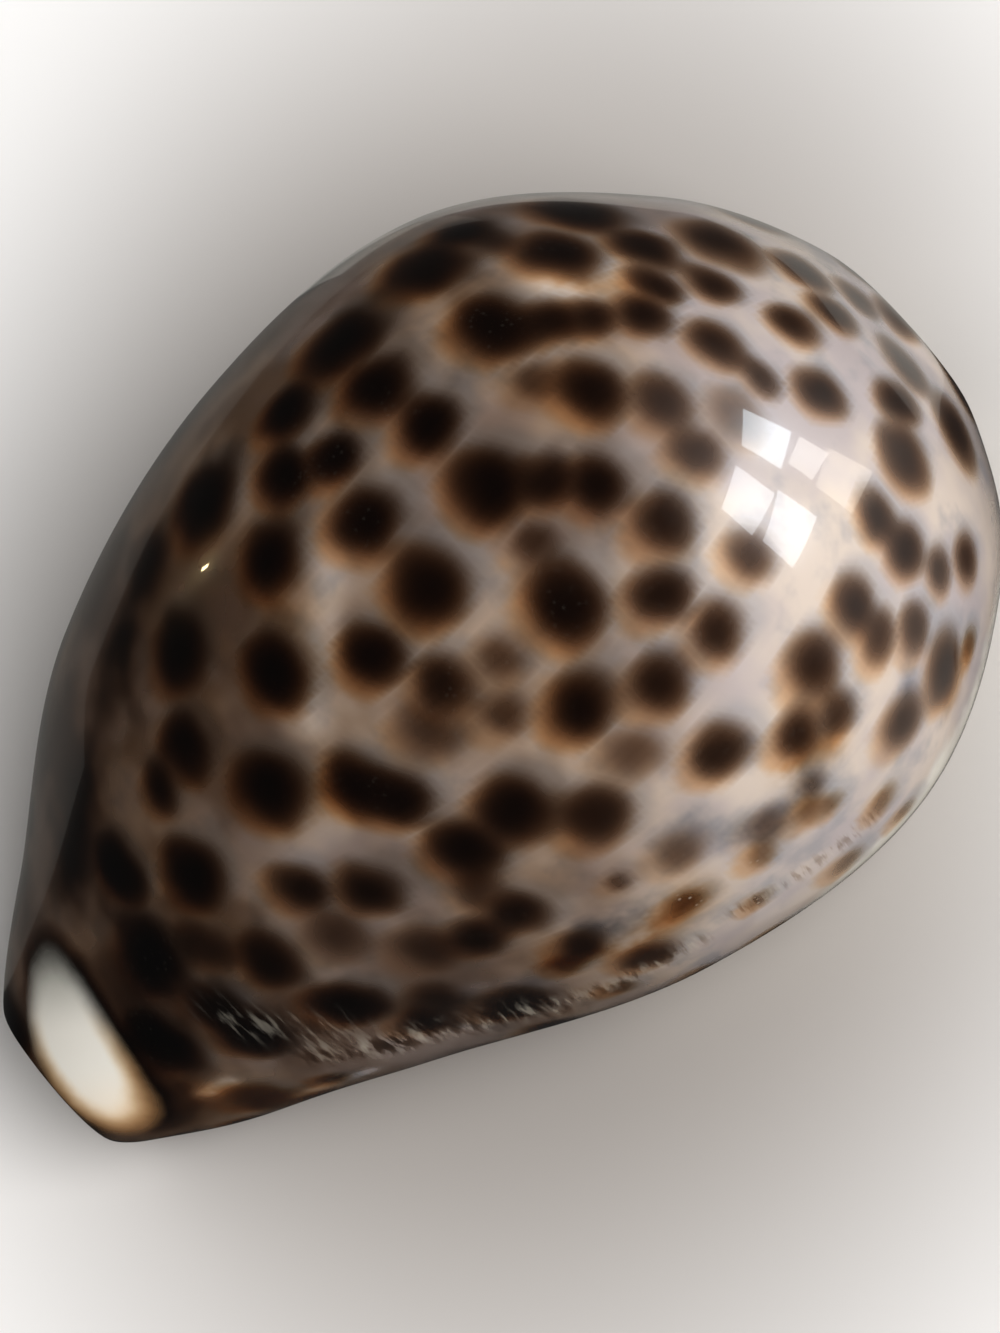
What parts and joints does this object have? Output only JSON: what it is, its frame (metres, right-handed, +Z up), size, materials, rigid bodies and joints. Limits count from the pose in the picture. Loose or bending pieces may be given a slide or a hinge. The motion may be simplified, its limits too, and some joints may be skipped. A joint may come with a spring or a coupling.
{
  "type": "tiger cowrie shell",
  "caption": "Glossy tiger cowrie shell with a humped spotted back and, underneath, a long toothed slit.",
  "frame": {"origin": "bottom centre of the shell's box, resting on its base", "axes": "+X to the narrow front (anterior) end, +Y to the columellar side, +Z up through the hump"},
  "size_m": [0.0798, 0.0538, 0.043],
  "materials": {
    "shell": "gloss"
  },
  "bodies": {
    "root": {"shell": "shell"}
  },
  "joints": []
}
